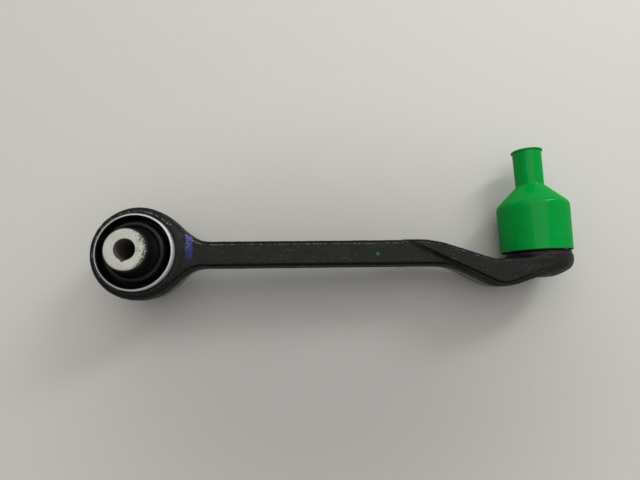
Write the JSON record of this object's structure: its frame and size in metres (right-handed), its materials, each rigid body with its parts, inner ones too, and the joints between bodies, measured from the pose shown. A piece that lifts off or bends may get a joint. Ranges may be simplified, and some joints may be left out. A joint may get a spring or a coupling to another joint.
{
  "type": "lower control arm",
  "caption": "Forged suspension link with a pressed rubber bush in its eye and a ball joint under a bottle-shaped transport cap.",
  "frame": {"origin": "middle of the bush bore, on its axis", "axes": "+Z along the bush bore, +X along the arm to the ball joint, +Y along the stud towards its thread"},
  "size_m": [0.2973, 0.0882, 0.06],
  "materials": {
    "painted_forging": "satin black paint over forging scale",
    "bright_steel": "drawn tube, machined ends",
    "sleeve_metal": "matt sawn and turned",
    "bush_rubber": "moulded natural rubber, satin",
    "race_plastic": "moulded, greased",
    "stud_steel": "turned, ball polished",
    "boot_rubber": "moulded, satin",
    "ring_steel": "flat wire",
    "cap_plastic": "blow-moulded, glossy"
  },
  "bodies": {
    "forging": {"arm": "painted_forging", "bush_outer_sleeve": "bright_steel", "bush_rubber": "bush_rubber", "bearing_shell": "race_plastic", "closing_ring": "ring_steel", "boot_lower_ring": "ring_steel"},
    "bush_core": {"bush_inner_sleeve": "sleeve_metal"},
    "boot": {"dust_boot": "boot_rubber"},
    "boot_top": {"boot_upper_ring": "ring_steel"},
    "stud": {"ball_stud": "stud_steel"},
    "cap": {"transport_cap": "cap_plastic"}
  },
  "joints": [
    {"name": "bush_twist", "type": "hinge", "parent": "forging", "child": "bush_core", "pos_m": [0, 0, 0], "axis": [0, 0, 1], "range_deg": [-15, 15], "stiffness_Nm_per_rad": 60},
    {"name": "stud_lean_side", "type": "hinge", "parent": "forging", "child": "boot", "pos_m": [0.2477, -0.00453, 0], "axis": [1, 0, 0], "range_deg": [-4.5, 4.5], "deforming": ["dust_boot"]},
    {"name": "stud_lean_along", "type": "hinge", "parent": "boot", "child": "boot_top", "pos_m": [0.2477, -0.00453, 0], "axis": [0, 0, 1], "range_deg": [-4.5, 4.5]},
    {"name": "stud_spin", "type": "hinge", "parent": "boot_top", "child": "stud", "pos_m": [0.2477, -0.00453, 0], "axis": [0, 1, 0], "continuous": true},
    {"name": "cap_pull", "type": "slide", "parent": "stud", "child": "cap", "axis": [0, 1, 0], "range_m": [0, 0.1]}
  ]
}
